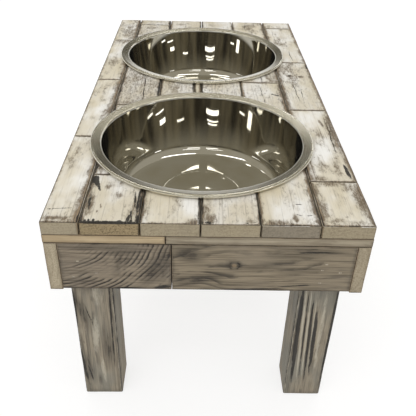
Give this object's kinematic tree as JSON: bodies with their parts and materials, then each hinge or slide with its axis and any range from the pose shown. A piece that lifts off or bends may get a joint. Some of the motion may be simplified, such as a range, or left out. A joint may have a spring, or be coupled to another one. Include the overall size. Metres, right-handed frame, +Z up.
{
  "type": "elevated dog feeder",
  "caption": "Low wooden feeding table of short whitewashed salvaged boards on square legs, with round flanged steel dog bowls that lift out of sawn holes.",
  "frame": {"origin": "on the floor, under the middle of the table top", "axes": "+Z up; +Y from the front end to the rear end, along the boards; +X to the right seen from the front"},
  "size_m": [0.254, 0.526, 0.2289],
  "materials": {
    "top_paint": "worn white paint over dark stained wood",
    "deck_wood": "sawn, thin grey wash",
    "apron_wood": "grey-brown wash over open grain",
    "leg_wood": "grey-brown wash over open grain",
    "bowl_steel": "mirror polished inside, satin flange",
    "brad_steel": "plain bright wire"
  },
  "bodies": {
    "stand": {"deck_brads": "brad_steel", "deck_slat_1_left": "deck_wood", "deck_slat_1_right": "deck_wood", "deck_slat_2_left": "deck_wood", "deck_slat_2_right": "deck_wood", "deck_slat_3_left": "deck_wood", "deck_slat_3_right": "deck_wood", "deck_slat_4": "deck_wood", "deck_slat_5": "deck_wood", "deck_slat_6_left": "deck_wood", "deck_slat_6_right": "deck_wood", "deck_slat_7_left": "deck_wood", "deck_slat_7_right": "deck_wood", "deck_slat_8_left": "deck_wood", "deck_slat_8_right": "deck_wood", "front_apron_brads": "brad_steel", "front_apron_left": "apron_wood", "front_apron_right": "apron_wood", "front_backer_rail": "apron_wood", "leg_front_left": "leg_wood", "leg_front_right": "leg_wood", "leg_rear_left": "leg_wood", "leg_rear_right": "leg_wood", "rear_apron_brads": "brad_steel", "rear_apron_left": "apron_wood", "rear_apron_right": "apron_wood", "rear_backer_rail": "apron_wood", "side_apron_brads": "brad_steel", "side_apron_left": "apron_wood", "side_apron_right": "apron_wood", "top_board_a1": "top_paint", "top_board_a2": "top_paint", "top_board_a3": "top_paint", "top_board_a4": "top_paint", "top_board_b1": "top_paint", "top_board_b2": "top_paint", "top_board_b3": "top_paint", "top_board_b4": "top_paint", "top_board_b5": "top_paint", "top_board_b6": "top_paint", "top_board_c1": "top_paint", "top_board_c2": "top_paint", "top_board_c3": "top_paint", "top_board_d1": "top_paint", "top_board_d2": "top_paint", "top_board_d3": "top_paint", "top_board_e1": "top_paint", "top_board_e2": "top_paint", "top_board_e3": "top_paint", "top_board_e4": "top_paint", "top_board_f1": "top_paint", "top_board_f2": "top_paint", "top_board_f3": "top_paint", "top_board_f4": "top_paint", "top_board_f5": "top_paint", "top_filler_strip": "top_paint"},
    "front_bowl": {"front_bowl": "bowl_steel"},
    "rear_bowl": {"rear_bowl": "bowl_steel"}
  },
  "joints": [
    {"name": "front_bowl_lift", "type": "slide", "parent": "stand", "child": "front_bowl", "axis": [0, 0, 1], "range_m": [0, 0.1]},
    {"name": "rear_bowl_lift", "type": "slide", "parent": "stand", "child": "rear_bowl", "axis": [0, 0, 1], "range_m": [0, 0.1]}
  ]
}
